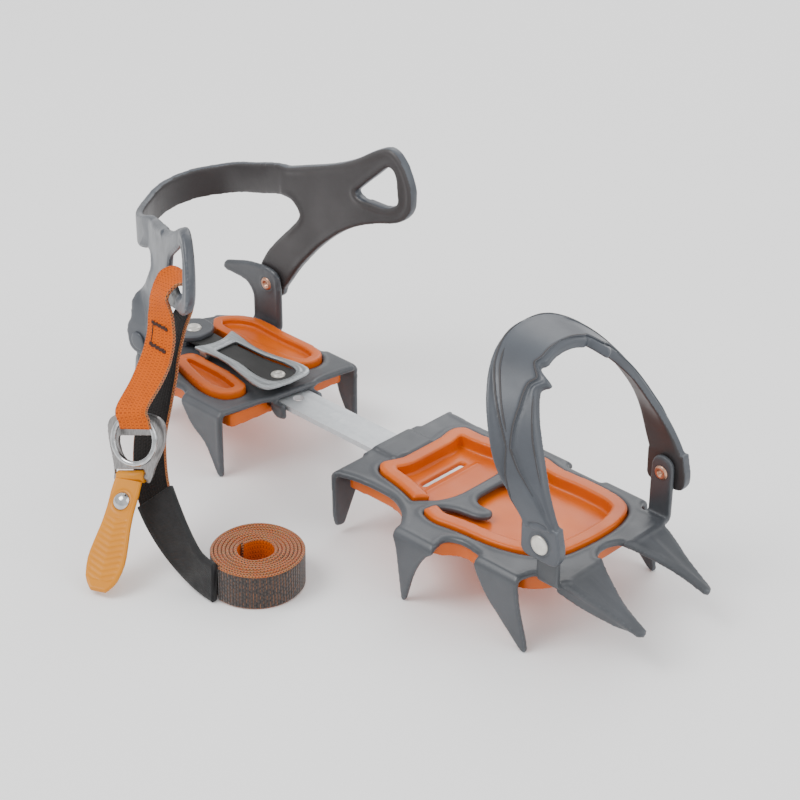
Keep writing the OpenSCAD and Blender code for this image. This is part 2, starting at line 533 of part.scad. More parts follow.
// Across the panel of the bail at the top, then turning towards the length of the foot.
bail_way = [0.865, -0.5, 0];
buckle_way = [0.909, 0.354, 0.222];
loop_across = [for (i = [0:len(loop_path) - 1])
    lerp(lerp(bail_way, x_dir, ease((i - 3) / 4)), buckle_way, ease((i - 7) / 3))];
module strap_loop() place() color("darkorange")
    loft(band_rows(eased(loop_path, 3), eased(loop_across, 3), [for (p = eased(loop_path, 3)) web_w], web_t));
tail_path = [[-70.6, -70.6, 122.4], [-72.5, -71.6, 115], [-74.2, -76, 106], [-73.5, -83, 93.7],
    [-71.7, -88.5, 83.6], [-70.3, -94, 73.5], [-68.6, -99, 66], [-65.5, -105, 55.3],
    [-58.5, -111.5, 45], [-50.8, -116.2, 37]];
tail_across = [bail_way, bail_way, [0.9, -0.4, 0], [0.97, -0.25, 0], [1, -0.1, 0], [1, 0, 0],
    [1, 0.1, 0], [0.95, 0.2, 0.15], [0.8, 0.4, 0.4], [0.56, 0.5, 0.66]];
module strap_tail() place() color([0.15, 0.14, 0.13])
    loft(band_rows(eased(tail_path, 3), eased(tail_across, 3), [for (p = eased(tail_path, 3)) web_w], web_t));
sleeve_path = [[-48.8, -117.3, 34.8], [-40.5, -119.8, 28.8], [-31, -122, 22.6], [-21.5, -123.6, 17.4],
    [-12, -124.8, 13.6], [-4, -125.3, 12.1], [3, -125.4, 11.7]];
sleeve_across = [[0.56, 0.5, 0.66], [0.5, 0.44, 0.74], [0.4, 0.32, 0.85], [0.25, 0.18, 0.95],
    [0.1, 0.05, 1], [0.03, 0, 1], [0, 0, 1]];
module strap_sleeve() place() color([0.12, 0.12, 0.13])
    loft(band_rows(eased(sleeve_path, 3), eased(sleeve_across, 3),
        [for (p = eased(sleeve_path, 3)) web_w + 3], web_t + 1.6));
coil_at = [4.5, -98.5];
module strap_coil() place() color([0.6, 0.35, 0.15]) translate([coil_at.x, coil_at.y, 0])
    rotate_extrude() translate([coil_hole_d / 2, 0]) square([(coil_d - coil_hole_d) / 2, web_w]);

// Buckle: a plate whose lowest bar carries the pull tab, and a loose ring in front of it.
buckle_at = [-61, -118.5, 74];
buckle_turn = 19;
buckle_tilt = 10;
buckle_roll = 13;
tab_tilt = 43;
tab_roll = -8;
plate_t = 2;
tab_bar_d = 3;
tab_bar_at = [-5.5, -28.4, 1];
tab_gap = 17.4;
module on_buckle() translate(buckle_at) rotate([0, 0, buckle_turn]) rotate([90 - buckle_tilt, 0, 0])
    rotate([0, 0, buckle_roll]) children();
module on_tab() on_buckle() translate(tab_bar_at) rotate([buckle_tilt - tab_tilt, 0, 0]) children();
module rod_x(d, length) rotate([0, 90, 0]) cylinder(d = d, h = length, center = true);
plate_outline = [[-8, 4.6, 5], [-14, 1, 6], [-15, -9, 8], [-14.4, -18, 7], [-14.6, -25, 4],
    [-16, -30.4, 1.5], [-14.3, -30.4, 1.2], [-14.2, -24.4, 1], [3.1, -24.4, 1], [3.2, -31.6, 1],
    [4.8, -31.8, 2], [7.2, -28.5, 3], [9.4, -23, 6], [15.6, -14.5, 8], [18.8, -7, 7], [18.8, 1, 6],
    [12, 4.6, 5]];
plate_window = [[-8.6, -6.8, 2], [-9.4, -12, 5], [-8, -19.5, 5], [-1.5, -22, 5], [5, -19.5, 5],
    [10.8, -13, 5], [12.4, -6.8, 2]];
module buckle_plate() place() color(zinc) on_buckle() {
    difference() {
        linear_extrude(height = plate_t) polygon(rounded(plate_outline));
        translate([0, 0, -1]) linear_extrude(height = plate_t + 2) polygon(rounded(plate_window));
    }
    translate(tab_bar_at) rod_x(tab_bar_d, tab_gap + 1);
}
ring_wire = 2.8;
ring_r = 12;
ring_lean = -12;
ring_at = [3.3, -7.4, 6.8];
module buckle_ring() place() color(zinc) on_buckle() translate(ring_at) rotate([ring_lean, 0, 0])
    rotate_extrude() translate([ring_r, 0]) circle(d = ring_wire, $fn = 24);
tab_half = [[7.8, -2.2, 0], [8.2, -9, 5], [8, -17, 8], [8.6, -26, 8], [10.2, -36, 8], [11, -44, 8],
    [9.6, -53, 6], [4, -59.5, 4]];
tab_outline = concat([for (i = [len(tab_half) - 1:-1:0]) tab_half[i]],
    [for (p = tab_half) [-p.x, p.y, p.z]]);
tab_t = 2.4;
tab_z = 0.6;
snap_y = -13.5;
module pull_tab() place() color("orange") on_tab() difference() {
    union() {
        rotate([0, 0, tab_roll]) translate([0, 0, tab_z]) linear_extrude(height = tab_t)
            polygon(rounded(tab_outline));
        // loop round the bar of the plate
        rod_x(tab_bar_d + 3.4, 15.2);
    }
    rod_x(tab_bar_d + 0.6, 20);
    rotate([0, 0, tab_roll]) translate([0, snap_y, -1]) cylinder(d = rivet_d, h = tab_t + 4);
}
module snap_rivet() place() color(zinc) on_tab() rotate([0, 0, tab_roll]) translate([0, snap_y, tab_z]) {
    translate([0, 0, -1.2]) cylinder(d = rivet_d, h = tab_t + 1.2);
    translate([0, 0, -1.2]) cylinder(d = rivet_head_d - 1, h = 1.2);
    translate([0, 0, tab_t]) cylinder(d = rivet_head_d, h = 1.2);
}

front_frame();
front_antiball_plate();
toe_bail();
toe_bail_rivets();
toe_bail_washers();
link_bar();
bar_end_stop();
heel_frame();
heel_antiball_plate();
blade_clamp();
clamp_rivet();
lock_lever();
lock_blade();
blade_rivet();
heel_bail();
heel_bail_rivets();
heel_bail_washers();
strap_loop();
strap_tail();
strap_sleeve();
strap_coil();
buckle_plate();
buckle_ring();
pull_tab();
snap_rivet();
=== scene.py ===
import bpy
import math
import numpy as np
from mathutils import Matrix, Vector
from mathutils.kdtree import KDTree


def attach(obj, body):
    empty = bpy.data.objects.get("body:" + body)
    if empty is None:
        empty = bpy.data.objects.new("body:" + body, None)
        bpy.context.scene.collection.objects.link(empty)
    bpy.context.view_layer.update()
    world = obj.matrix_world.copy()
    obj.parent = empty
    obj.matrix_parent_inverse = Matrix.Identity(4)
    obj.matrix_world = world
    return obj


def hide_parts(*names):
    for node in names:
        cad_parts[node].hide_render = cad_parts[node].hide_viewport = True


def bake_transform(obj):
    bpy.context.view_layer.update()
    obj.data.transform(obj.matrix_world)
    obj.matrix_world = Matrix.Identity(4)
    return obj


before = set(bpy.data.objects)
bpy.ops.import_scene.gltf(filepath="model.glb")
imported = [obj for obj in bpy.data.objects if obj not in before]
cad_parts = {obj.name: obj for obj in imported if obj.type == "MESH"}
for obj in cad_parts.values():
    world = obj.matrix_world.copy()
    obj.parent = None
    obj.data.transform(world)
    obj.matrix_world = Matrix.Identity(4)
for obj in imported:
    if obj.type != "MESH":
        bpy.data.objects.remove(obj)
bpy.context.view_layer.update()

# The CAD source counts in millimetres from the rear edge of the front section.
OX, OY = 0.32, 22.57
TOE_X, TOE_Z = 145, 63
HEEL_X, HEEL_Z = -137.5, 64
WEB_W, WEB_T = 20, 1.9
COIL_X, COIL_Y, COIL_Z = 4.5, -98.5, 10.0


def P(x, y, z):
    return Vector(((x + OX) / 1000, (y + OY) / 1000, z / 1000))


# ------------------------------------------------------------------ camera
cam_data = bpy.data.cameras.new("camera")
cam_data.lens = 108
cam_data.sensor_width = 36
cam_data.clip_end = 50
cam = bpy.data.objects.new("camera", cam_data)
bpy.context.scene.collection.objects.link(cam)
cam.location = P(746, -757, 673)
cam.rotation_euler = (math.radians(60.1), 0, math.radians(44.3))
bpy.context.scene.camera = cam


# ------------------------------------------------------------------ materials
def lin(*rgb):
    out = []
    for c in rgb:
        c = c / 255
        out.append(c / 12.92 if c < 0.04045 else ((c + 0.055) / 1.055) ** 2.4)
    return (*out, 1.0)


class Mat:
    """A node material: mat.node(...) adds a node, mat.set(...) fills the shader's sockets."""

    def __init__(self, name):
        self.m = bpy.data.materials.new(name)
        self.m.use_nodes = True
        self.t = self.m.node_tree
        self.b = self.t.nodes["Principled BSDF"]

    def node(self, kind, inputs=(), **attrs):
        n = self.t.nodes.new("ShaderNode" + kind)
        for k, v in attrs.items():
            setattr(n, k, v)
        for k, v in dict(inputs).items():
            self.put(n.inputs[k], v)
        return n

    def put(self, socket, v):
        if isinstance(v, bpy.types.NodeSocket):
            self.t.links.new(v, socket)
        else:
            socket.default_value = v

    def math(self, op, a, b=0.0, c=None):
        n = self.t.nodes.new("ShaderNodeMath")
        n.operation = op
        self.put(n.inputs[0], a)
        self.put(n.inputs[1], b)
        if c is not None:
            self.put(n.inputs[2], c)
        return n.outputs[0]

    def mix(self, f, a, b):
        n = self.t.nodes.new("ShaderNodeMix")
        n.data_type = "RGBA"
        self.put(n.inputs[0], f)
        self.put(n.inputs[6], a)
        self.put(n.inputs[7], b)
        return n.outputs[2]

    def span(self, v, lo, hi, to_lo, to_hi):
        n = self.t.nodes.new("ShaderNodeMapRange")
        self.put(n.inputs[0], v)
        for i, x in enumerate((lo, hi, to_lo, to_hi)):
            n.inputs[i + 1].default_value = x
        return n.outputs[0]

    def place(self, scale=(1, 1, 1)):
        tc = self.node("TexCoord")
        mp = self.node("Mapping", {"Vector": tc.outputs["Object"], "Scale": scale})
        return mp.outputs[0]

    def noise(self, scale, detail=3.0, vector=None, rough=0.55):
        n = self.node("TexNoise", {"Scale": scale, "Detail": detail, "Roughness": rough})
        self.put(n.inputs["Vector"], vector if vector is not None else self.place())
        return n.outputs[0]

    def bump(self, h, distance, strength=1.0):
        n = self.node("Bump", {"Height": h, "Distance": distance, "Strength": strength})
        self.put(self.b.inputs["Normal"], n.outputs[0])

    def set(self, **kw):
        for k, v in kw.items():
            self.put(self.b.inputs[k.replace("_", " ")], v)
        return self.m


def coated(name, dark, light, rough, grain, wear=0.0):
    m = Mat(name)
    cloud = m.span(m.noise(26, 4), 0.35, 0.68, 0, 1)
    col = m.mix(cloud, dark, light)
    fine = m.noise(900, 2)
    col = m.mix(m.span(fine, 0.3, 0.75, 0.0, 0.22), col, light)
    if wear:
        g = m.node("NewGeometry")
        edge = m.span(g.outputs["Pointiness"], 0.53, 0.60, 0, wear)
        scuff = m.span(m.noise(160, 5), 0.42, 0.62, 0.25, 1)
        col = m.mix(m.math("MULTIPLY", edge, scuff), col, lin(150, 158, 166))
    r = m.span(m.noise(60, 4), 0.3, 0.7, rough - 0.07, rough + 0.08)
    m.bump(fine, grain)
    return m.set(Base_Color=col, Roughness=r, Metallic=0.0)


steel_mat = coated("frame_steel", lin(60, 63, 67), lin(74, 77, 82), 0.38, 0.00004, 0.5)
bail_mat = coated("bail_plastic", lin(62, 65, 71), lin(74, 79, 86), 0.36, 0.00003, 0.4)
# painted shade: a darker, browner copy of the bail plastic for the inner faces of both bails, which stand in
# shadow
bail_shade_mat = coated("bail_plastic_painted_shade", lin(48, 45, 46), lin(60, 57, 58), 0.46, 0.00003)


def orange_plastic(name, deep, bright, rough=0.34):
    m = Mat(name)
    col = m.mix(m.span(m.noise(30, 3), 0.3, 0.7, 0, 1), deep, bright)
    r = m.span(m.noise(70, 4), 0.3, 0.7, rough - 0.06, rough + 0.07)
    m.bump(m.noise(700, 2), 0.00003)
    return m.set(Base_Color=col, Roughness=r, Specular_IOR_Level=0.32, Coat_Weight=0.12, Coat_Roughness=0.2)


orange_mat = orange_plastic("orange_plate", lin(196, 84, 0), lin(212, 98, 0))
tab_mat = orange_plastic("amber_plastic", lin(200, 124, 0), lin(212, 136, 0), 0.42)


def galvanised():
    m = Mat("galvanised")
    cells = m.node("TexVoronoi", {"Vector": m.place(), "Scale": 420.0}, feature="F1")
    tone = m.node("TexNoise", {"Vector": cells.outputs["Position"], "Scale": 400.0})
    t = m.span(tone.outputs[0], 0.3, 0.7, 0.2, 0.8)
    long_scratch = m.noise(90, 5, m.place((0.25, 3, 1)))
    col = m.mix(t, lin(198, 202, 206), lin(216, 219, 221))
    col = m.mix(m.span(long_scratch, 0.55, 0.75, 0, 0.3), col, lin(160, 165, 169))
    r = m.span(m.noise(150, 4), 0.3, 0.7, 0.36, 0.54)
    m.bump(long_scratch, 0.00005)
    return m.set(Base_Color=col, Roughness=r, Metallic=0.75)


bar_mat = galvanised()


def brushed(name, dark, light, rough, metal, scale=(0.15, 6, 6), bump=0.00002):
    m = Mat(name)
    lines = m.noise(300, 4, m.place(scale))
    col = m.mix(m.span(lines, 0.3, 0.7, 0, 1), dark, light)
    r = m.span(m.noise(90, 4), 0.3, 0.7, rough - 0.06, rough + 0.08)
    m.bump(lines, bump)
    return m.set(Base_Color=col, Roughness=r, Metallic=metal)


lever_mat = brushed("stainless", lin(150, 155, 158), lin(186, 190, 192), 0.40, 0.85)
chrome_mat = brushed("wire_steel", lin(168, 170, 172), lin(204, 205, 206), 0.16, 1.0, (1, 1, 1), 0.00001)
rivet_mat = brushed("rivet_metal", lin(196, 192, 184), lin(222, 219, 212), 0.36, 0.6, (1, 1, 1), 0.00004)
copper_mat = brushed("rivet_tail", lin(176, 128, 104), lin(214, 170, 146), 0.3, 0.9, (1, 1, 1), 0.00003)
blade_mat = coated("spring_steel", lin(28, 28, 28), lin(44, 44, 43), 0.5, 0.00006)
washer_mat = coated("washer_plastic", lin(28, 29, 31), lin(42, 43, 45), 0.55, 0.00003)
buckle_mat = brushed("buckle_steel", lin(122, 120, 120), lin(154, 152, 151), 0.34, 0.9, (6, 0.2, 1))


def webbing(name, face, weft, pitch=0.00135, row=0.0016, sheen=0.3):
    """Warp columns along the strap, each a row of short stitches, staggered column by column."""
    m = Mat(name)
    uv = m.node("UVMap").outputs[0]
    s = m.node("SeparateXYZ", {"Vector": uv})
    u, v = s.outputs[0], s.outputs[1]
    col_i = m.math("FLOOR", m.math("DIVIDE", v, pitch))
    across = m.math("ABSOLUTE", m.math("SINE", m.math("MULTIPLY", v, math.pi / pitch)))
    shift = m.math("MULTIPLY", m.math("MODULO", col_i, 2.0), 0.5)
    run = m.math("ADD", m.math("DIVIDE", u, row), shift)
    along = m.math("ABSOLUTE", m.math("SINE", m.math("MULTIPLY", run, math.pi)))
    rib = m.math("ABSOLUTE", m.math("SINE", m.math("MULTIPLY", u, math.pi / row)))
    h = m.math("MULTIPLY", m.math("POWER", along, 0.5), m.math("ADD", m.math("MULTIPLY", across, 0.55), 0.45))
    h = m.math("ADD", m.math("MULTIPLY", h, 0.75), m.math("MULTIPLY", rib, 0.25))
    fuzz = m.noise(2600, 3)
    h2 = m.math("ADD", h, m.math("MULTIPLY", fuzz, 0.18))
    tone = m.span(m.noise(120, 3), 0.3, 0.7, -0.12, 0.12)
    f = m.math("ADD", m.span(h, 0.12, 0.62, 0, 1), tone)
    f = m.math("MINIMUM", m.math("MAXIMUM", f, 0.0), 1.0)
    col = m.mix(f, weft, face)
    m.bump(h2, 0.00035)
    return m.set(Base_Color=col, Roughness=0.72, Specular_IOR_Level=0.2, Sheen_Weight=sheen,
                 Sheen_Roughness=0.45)


web_orange = webbing("orange_webbing", lin(204, 92, 0), lin(122, 42, 0), sheen=0.0)
web_black = webbing("black_webbing", lin(30, 26, 25), lin(8, 7, 7), 0.0016, 0.0017, 0.05)


def woven_edge():
    """The selvedge: tan and orange threads crossing over black."""
    m = Mat("webbing_edge")
    uv = m.node("UVMap").outputs[0]
    s = m.node("SeparateXYZ", {"Vector": uv})
    u, v = s.outputs[0], s.outputs[1]
    a = m.math("SINE", m.math("MULTIPLY", m.math("ADD", u, v), math.pi / 0.0008))
    b = m.math("SINE", m.math("MULTIPLY", m.math("SUBTRACT", u, v), math.pi / 0.0008))
    x = m.math("MAXIMUM", a, b)
    f = m.span(x, -0.1, 0.5, 0, 1)
    hue = m.mix(m.span(m.noise(500, 2), 0.4, 0.6, 0, 1), lin(168, 104, 44), lin(186, 90, 20))
    col = m.mix(f, lin(38, 26, 20), hue)
    m.bump(m.math("ADD", x, m.noise(2400, 2)), 0.0002)
    return m.set(Base_Color=col, Roughness=0.75, Sheen_Weight=0.25, Sheen_Roughness=0.5)


edge_mat = woven_edge()


def black_outside():
    """Outer face of the coil: black warp with brown and tan weft dots in upright ribs."""
    m = Mat("coil_outside")
    uv = m.node("UVMap").outputs[0]
    s = m.node("SeparateXYZ", {"Vector": uv})
    u, v = s.outputs[0], s.outputs[1]
    rib = m.math("ABSOLUTE", m.math("SINE", m.math("MULTIPLY", u, math.pi / 0.0016)))
    col_i = m.math("FLOOR", m.math("DIVIDE", u, 0.0016))
    sh = m.math("MULTIPLY", m.math("MODULO", col_i, 2.0), 0.5)
    phase = m.math("MULTIPLY", m.math("ADD", m.math("DIVIDE", v, 0.0022), sh), math.pi)
    dots = m.math("ABSOLUTE", m.math("SINE", phase))
    h = m.math("MULTIPLY", rib, m.math("ADD", m.math("MULTIPLY", dots, 0.5), 0.5))
    f = m.span(h, 0.2, 0.9, 0, 1)
    base = m.mix(f, lin(16, 13, 13), lin(62, 50, 45))
    tan = m.math("MULTIPLY", m.math("LESS_THAN", h, 0.20), m.span(m.noise(420, 2), 0.42, 0.6, 0, 0.85))
    col = m.mix(tan, base, lin(150, 92, 52))
    m.bump(m.math("ADD", h, m.math("MULTIPLY", m.noise(2500, 2), 0.2)), 0.0004)
    return m.set(Base_Color=col, Roughness=0.75, Sheen_Weight=0.2, Sheen_Roughness=0.5)


coil_out_mat = black_outside()


def sleeve_cloth():
    m = Mat("black_sleeve")
    uv = m.node("UVMap").outputs[0]
    s = m.node("SeparateXYZ", {"Vector": uv})
    u, v = s.outputs[0], s.outputs[1]
    a = m.math("SINE", m.math("MULTIPLY", u, math.pi / 0.0005))
    b = m.math("SINE", m.math("MULTIPLY", v, math.pi / 0.0005))
    h = m.math("ADD", m.math("MULTIPLY", a, b), m.math("MULTIPLY", m.noise(1500, 3), 0.6))
    col = m.mix(m.span(m.noise(90, 4), 0.3, 0.7, 0, 1), lin(11, 11, 12), lin(22, 22, 24))
    r = m.span(m.noise(140, 4), 0.3, 0.7, 0.42, 0.62)
    m.bump(h, 0.00006)
    return m.set(Base_Color=col, Roughness=r, Specular_IOR_Level=0.3, Sheen_Weight=0.06, Sheen_Roughness=0.4)


sleeve_mat = sleeve_cloth()


def thread():
    m = Mat("stitch_thread")
    n = m.noise(1800, 3)
    m.bump(n, 0.0002)
    col = m.mix(m.span(n, 0.35, 0.65, 0, 1), lin(40, 22, 16), lin(78, 46, 34))
    return m.set(Base_Color=col, Roughness=0.8)


thread_mat = thread()


# ------------------------------------------------------------------ mesh helpers
def add(name, verts, faces, mats, smooth=True, uvs=None, index=None):
    me = bpy.data.meshes.new(name)
    me.from_pydata([tuple(v) for v in verts], [], faces)
    for m in mats:
        me.materials.append(m)
    if index is not None:
        me.polygons.foreach_set("material_index", index)
    if uvs is not None:
        layer = me.uv_layers.new(name="UVMap")
        layer.data.foreach_set("uv", np.array(uvs, np.float32).reshape(-1))
    me.polygons.foreach_set("use_smooth", [smooth] * len(me.polygons))
    me.update()
    o = bpy.data.objects.new(name, me)
    bpy.context.scene.collection.objects.link(o)
    return o


def bake(o):
    """Applies the modifiers of a piece."""
    dg = bpy.context.evaluated_depsgraph_get()
    me = bpy.data.meshes.new_from_object(o.evaluated_get(dg))
    o.modifiers.clear()
    o.data = me
    return o


def coords(me):
    co = np.zeros(len(me.vertices) * 3)
    me.vertices.foreach_get("co", co)
    n = np.zeros(len(me.vertices) * 3)
    me.vertices.foreach_get("normal", n)
    return co.reshape(-1, 3), n.reshape(-1, 3)


def design(co):
    """Metres in the shared frame to millimetres from the rear edge of the front section."""
    return co * 1000 - np.array([OX, OY, 0])


def remesh(o, voxel, rounds, factor=0.5):
    m = o.modifiers.new("remesh", "REMESH")
    m.mode = "VOXEL"
    m.voxel_size = voxel
    m.use_smooth_shade = True
    if rounds:
        s = o.modifiers.new("smooth", "SMOOTH")
        s.factor = factor
        s.iterations = rounds
    bake(o)
    o.data.polygons.foreach_set("use_smooth", [True] * len(o.data.polygons))
    return o


def edge_distance(co, n, facing):
    """Millimetres from each vertex of a sheet part's faces to its cut edges, 20 at most."""
    face = facing(n)
    wall = np.where(~face)[0]
    tree = KDTree(len(wall))
    for i in wall:
        tree.insert(Vector(co[i]), int(i))
    tree.balance()
    d = np.zeros(len(co))
    for i in np.where(face)[0]:
        d[i] = tree.find(Vector(co[i]))[2]
    return np.minimum(d, 0.02) * 1000, face


def push(o, fn):
    """Moves each vertex along its normal by fn(design mm, normals) millimetres."""
    co, n = coords(o.data)
    h = fn(co, design(co), n)
    co = co + n * h[:, None] / 1000
    o.data.vertices.foreach_set("co", co.reshape(-1))
    o.data.update()
    return o


def skin(node, name, body, mat, voxel=0.0008, rounds=6, fn=None, after=0):
    """A finer skin of a CAD part: its edges are eased, and fn embosses what it is given."""
    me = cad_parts[node].data.copy()
    me.materials.clear()
    o = bpy.data.objects.new(name, me)
    bpy.context.scene.collection.objects.link(o)
    remesh(o, voxel, rounds)
    if fn:
        push(o, fn)
    if after:
        s = o.modifiers.new("smooth", "SMOOTH")
        s.factor = 0.5
        s.iterations = after
        bake(o)
    o.data.materials.clear()
    o.data.materials.append(mat)
    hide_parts(node)
    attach(o, body)
    return o


def bell(d, w):
    return np.exp(-(d / w) ** 2)


def step(x, lo, hi):
    t = np.clip((x - lo) / (hi - lo), 0, 1)
    return t * t * (3 - 2 * t)


# ------------------------------------------------------------------ strap
def spline(points, n):
    """Even samples of a smooth curve through points (rows may hold any number of columns)."""
    p = np.array(points, float)
    ext = np.vstack([2 * p[0] - p[1], p, 2 * p[-1] - p[-2]])
    out = []
    per = 24
    for i in range(1, len(ext) - 2):
        a, b, c, d = ext[i - 1], ext[i], ext[i + 1], ext[i + 2]
        for k in range(per):
            t = k / per
            out.append(0.5 * ((2 * b) + (c - a) * t + (2 * a - 5 * b + 4 * c - d) * t * t
                              + (3 * b - 3 * c + d - a) * t ** 3))
    out.append(p[-1])
    out = np.array(out)
    s = np.concatenate([[0], np.cumsum(np.linalg.norm(np.diff(out[:, :3], axis=0), axis=1))])
    at = np.linspace(0, s[-1], n)
    return np.stack([np.interp(at, s, out[:, j]) for j in range(out.shape[1])], 1), s[-1]


def ribbon(name, path, across, width, thick, n, mats):
    """Webbing along a path: path and across in millimetres, one width or one for each point."""
    w = np.array([width] * len(path) if np.isscalar(width) else width, float)[:, None]
    rows, length = spline(np.hstack([np.array(path, float), np.array(across, float), w]), n)
    c, a, w = rows[:, :3], rows[:, 3:6], rows[:, 6]
    d = np.gradient(c, axis=0)
    d /= np.linalg.norm(d, axis=1)[:, None]
    a = a - d * np.sum(a * d, 1)[:, None]
    a /= np.linalg.norm(a, axis=1)[:, None]
    nn = np.cross(d, a)
    # cross-section: share of the half width, share of the half thickness, material
    flat = (-0.93, -0.75, -0.5, -0.25, 0, 0.25, 0.5, 0.75, 0.93)
    prof = [(s, 1.0, 0) for s in flat] + [(0.985, 0.62, 2), (1.0, 0.0, 2), (0.985, -0.62, 2)]
    prof += [(s, -1.0, 1) for s in reversed(flat)] + [(-0.985, -0.62, 2), (-1.0, 0.0, 2), (-0.985, 0.62, 2)]
    m = len(prof)
    verts, faces, uvs, idx = [], [], [], []
    u = np.linspace(0, length, n) / 1000
    for i in range(n):
        for s, q, _ in prof:
            verts.append(P(*(c[i] + a[i] * s * w[i] / 2 + nn[i] * (q * thick / 2))))
    girth = [0.0]
    for j in range(1, m + 1):
        s0, q0, _ = prof[j - 1]
        s1, q1, _ = prof[j % m]
        girth.append(girth[-1] + math.hypot((s1 - s0) * 10, (q1 - q0) * thick / 2) / 1000)
    for i in range(n - 1):
        for j in range(m):
            k = (j + 1) % m
            faces.append((i * m + j, (i + 1) * m + j, (i + 1) * m + k, i * m + k))
            pair = {prof[j][2], prof[k][2]}
            idx.append(2 if 2 in pair else pair.pop())
            g0, g1 = girth[j], girth[j + 1]
            uvs += [(u[i], g0), (u[i + 1], g0), (u[i + 1], g1), (u[i], g1)]
    faces.append(tuple(range(m)))
    faces.append(tuple((n - 1) * m + j for j in range(m - 1, -1, -1)))
    idx += [2, 2]
    uvs += [(u[0], g) for g in girth[:m]] + [(u[-1], g) for g in reversed(girth[:m])]
    o = add(name, verts, faces, mats, True, uvs, idx)
    o.data.validate()
    return o, length / 1000, (c, a, nn)


BAIL_WAY = np.array([0.865, -0.5, 0])
XD = np.array([1.0, 0, 0])


def ease(t):
    t = min(1, max(0, t))
    return t * t * (3 - 2 * t)


loop_path = [[-70.3, -71, 126.5], [-70.8, -71.8, 131], [-71.2, -76, 134.6], [-71.6, -82, 135],
             [-71.8, -87, 131.5], [-71.5, -88.8, 126], [-69.5, -90.2, 119], [-67, -93, 109],
             [-64.6, -99, 99.5], [-60.0, -109.6, 92.8], [-55.6, -123.0, 85.3], [-53.4, -123.9, 79.6],
             [-52.5, -123.9, 75.7]]
BUCKLE_WAY = np.array([0.909, 0.354, 0.222])


def across_of(i):
    a = BAIL_WAY + (XD - BAIL_WAY) * ease((i - 3) / 4)
    return a + (BUCKLE_WAY - a) * ease((i - 7) / 3)


loop_across = [across_of(i) for i in range(len(loop_path))]
front_run, front_len, front_rows = ribbon(
    "strap_front_run", loop_path, loop_across, [WEB_W] * 8 + [19.6, 19, 18.4, 18, 18], WEB_T, 150,
    [web_orange, web_black, edge_mat])
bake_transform(front_run)
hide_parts("strap_loop")

tail_path = [[-70.3, -70.9, 126.6], [-70.7, -70.7, 122], [-72.5, -71.6, 115], [-74.2, -76, 106],
             [-73.5, -83, 93.7], [-71.7, -88.5, 83.6], [-70.3, -94, 73.5], [-68.6, -99, 66],
             [-65.5, -105, 55.3], [-58.5, -111.5, 45], [-50.8, -116.4, 36.6], [-44.6, -118.7, 31.7]]
tail_across = [BAIL_WAY, BAIL_WAY, BAIL_WAY, (0.9, -0.4, 0), (0.97, -0.25, 0), (1, -0.1, 0), (1, 0, 0),
               (1, 0.1, 0), (0.95, 0.2, 0.15), (0.8, 0.4, 0.4), (0.58, 0.5, 0.64), (0.53, 0.47, 0.7)]
back_run, back_len, _ = ribbon(
    "strap_back_run", tail_path, tail_across, WEB_W, WEB_T, 120, [web_black, web_orange, edge_mat])
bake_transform(back_run)
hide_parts("strap_tail")

sleeve_path = [[-48.8, -117.3, 34.8], [-40.5, -119.8, 28.8], [-31, -122, 22.6], [-21.5, -123.6, 17.4],
               [-12, -124.8, 13.6], [-4, -125.3, 12.1], [3, -125.4, 11.7]]
sleeve_across = [(0.56, 0.5, 0.66), (0.5, 0.44, 0.74), (0.4, 0.32, 0.85), (0.25, 0.18, 0.95),
                 (0.1, 0.05, 1), (0.03, 0, 1), (0, 0, 1)]
sleeve, sleeve_len, _ = ribbon(
    "strap_label_sleeve", sleeve_path, sleeve_across, 23, 3.4, 90, [sleeve_mat] * 3)
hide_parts("strap_sleeve")
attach(sleeve, "heel_section")

# Coil: the turns run anticlockwise from the sleeve inwards, standing on their edges.
turns, r_out, r_in = 7.8, 24.0, 8.9
spiral, spiral_across = [], []
for i in range(int(turns * 30) + 1):
    t = i / (turns * 30)
    ang = math.radians(-93) + t * turns * 2 * math.pi
    r = r_out + (r_in - r_out) * t
    spiral.append((COIL_X + r * math.cos(ang), COIL_Y + r * math.sin(ang),
                   COIL_Z + 0.25 * math.sin(ang * 3 + t * 9)))
    spiral_across.append((0.02 * math.cos(ang * 2), 0.02 * math.sin(ang * 2), 1))
coil, coil_len, _ = ribbon(
    "strap_coil_turns", spiral, spiral_across, 19.4, 1.7, 720, [coil_out_mat, web_orange, edge_mat])
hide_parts("strap_coil")
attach(coil, "heel_section")

# Two bar tacks across the front run, joined by a line of stitches at its rear edge.
fc, fa, fn_ = front_rows


STITCH = ((0, 3, 2, 1), (4, 5, 6, 7), (0, 1, 5, 4), (1, 2, 6, 5), (2, 3, 7, 6), (3, 0, 4, 7))
CORNERS = ((-1, -1), (1, -1), (1, 1), (-1, 1))


def run_way(i):
    """Direction of the front run at row i."""
    d = fc[min(i + 1, len(fc) - 1)] - fc[i - 1]
    return d / np.linalg.norm(d)


def stitch(verts, faces, p, wide, long, layers):
    """A small raised stitch at p; layers are (height, share of its size) below and above."""
    base = len(verts)
    for up, k in layers:
        verts += [P(*(p + (wide * a + long * b) * k + up)) for a, b in CORNERS]
    faces += [tuple(base + j for j in f) for f in STITCH]


def tack(name, z, half, slope, rows=9):
    i0 = int(np.argmin(np.abs(fc[:, 2] - z) + (fc[:, 1] > -86) * 100))
    verts, faces = [], []
    for k in range(rows * 4):
        s = (k / (rows * 4 - 1)) * 2 - 1
        zigzag = 0.3 * (1 if k % 2 else -1)
        i = min(len(fc) - 1, max(0, i0 + int(round(slope * s * 4))))
        d = run_way(i)
        p = fc[i] + fa[i] * s * half + fn_[i] * 1.25 + d * zigzag
        stitch(verts, faces, p, fa[i] * 0.38, d * 0.55, ((-fn_[i] * 0.28, 1.0), (fn_[i] * 0.28, 0.8)))
    return add(name, verts, faces, [thread_mat])


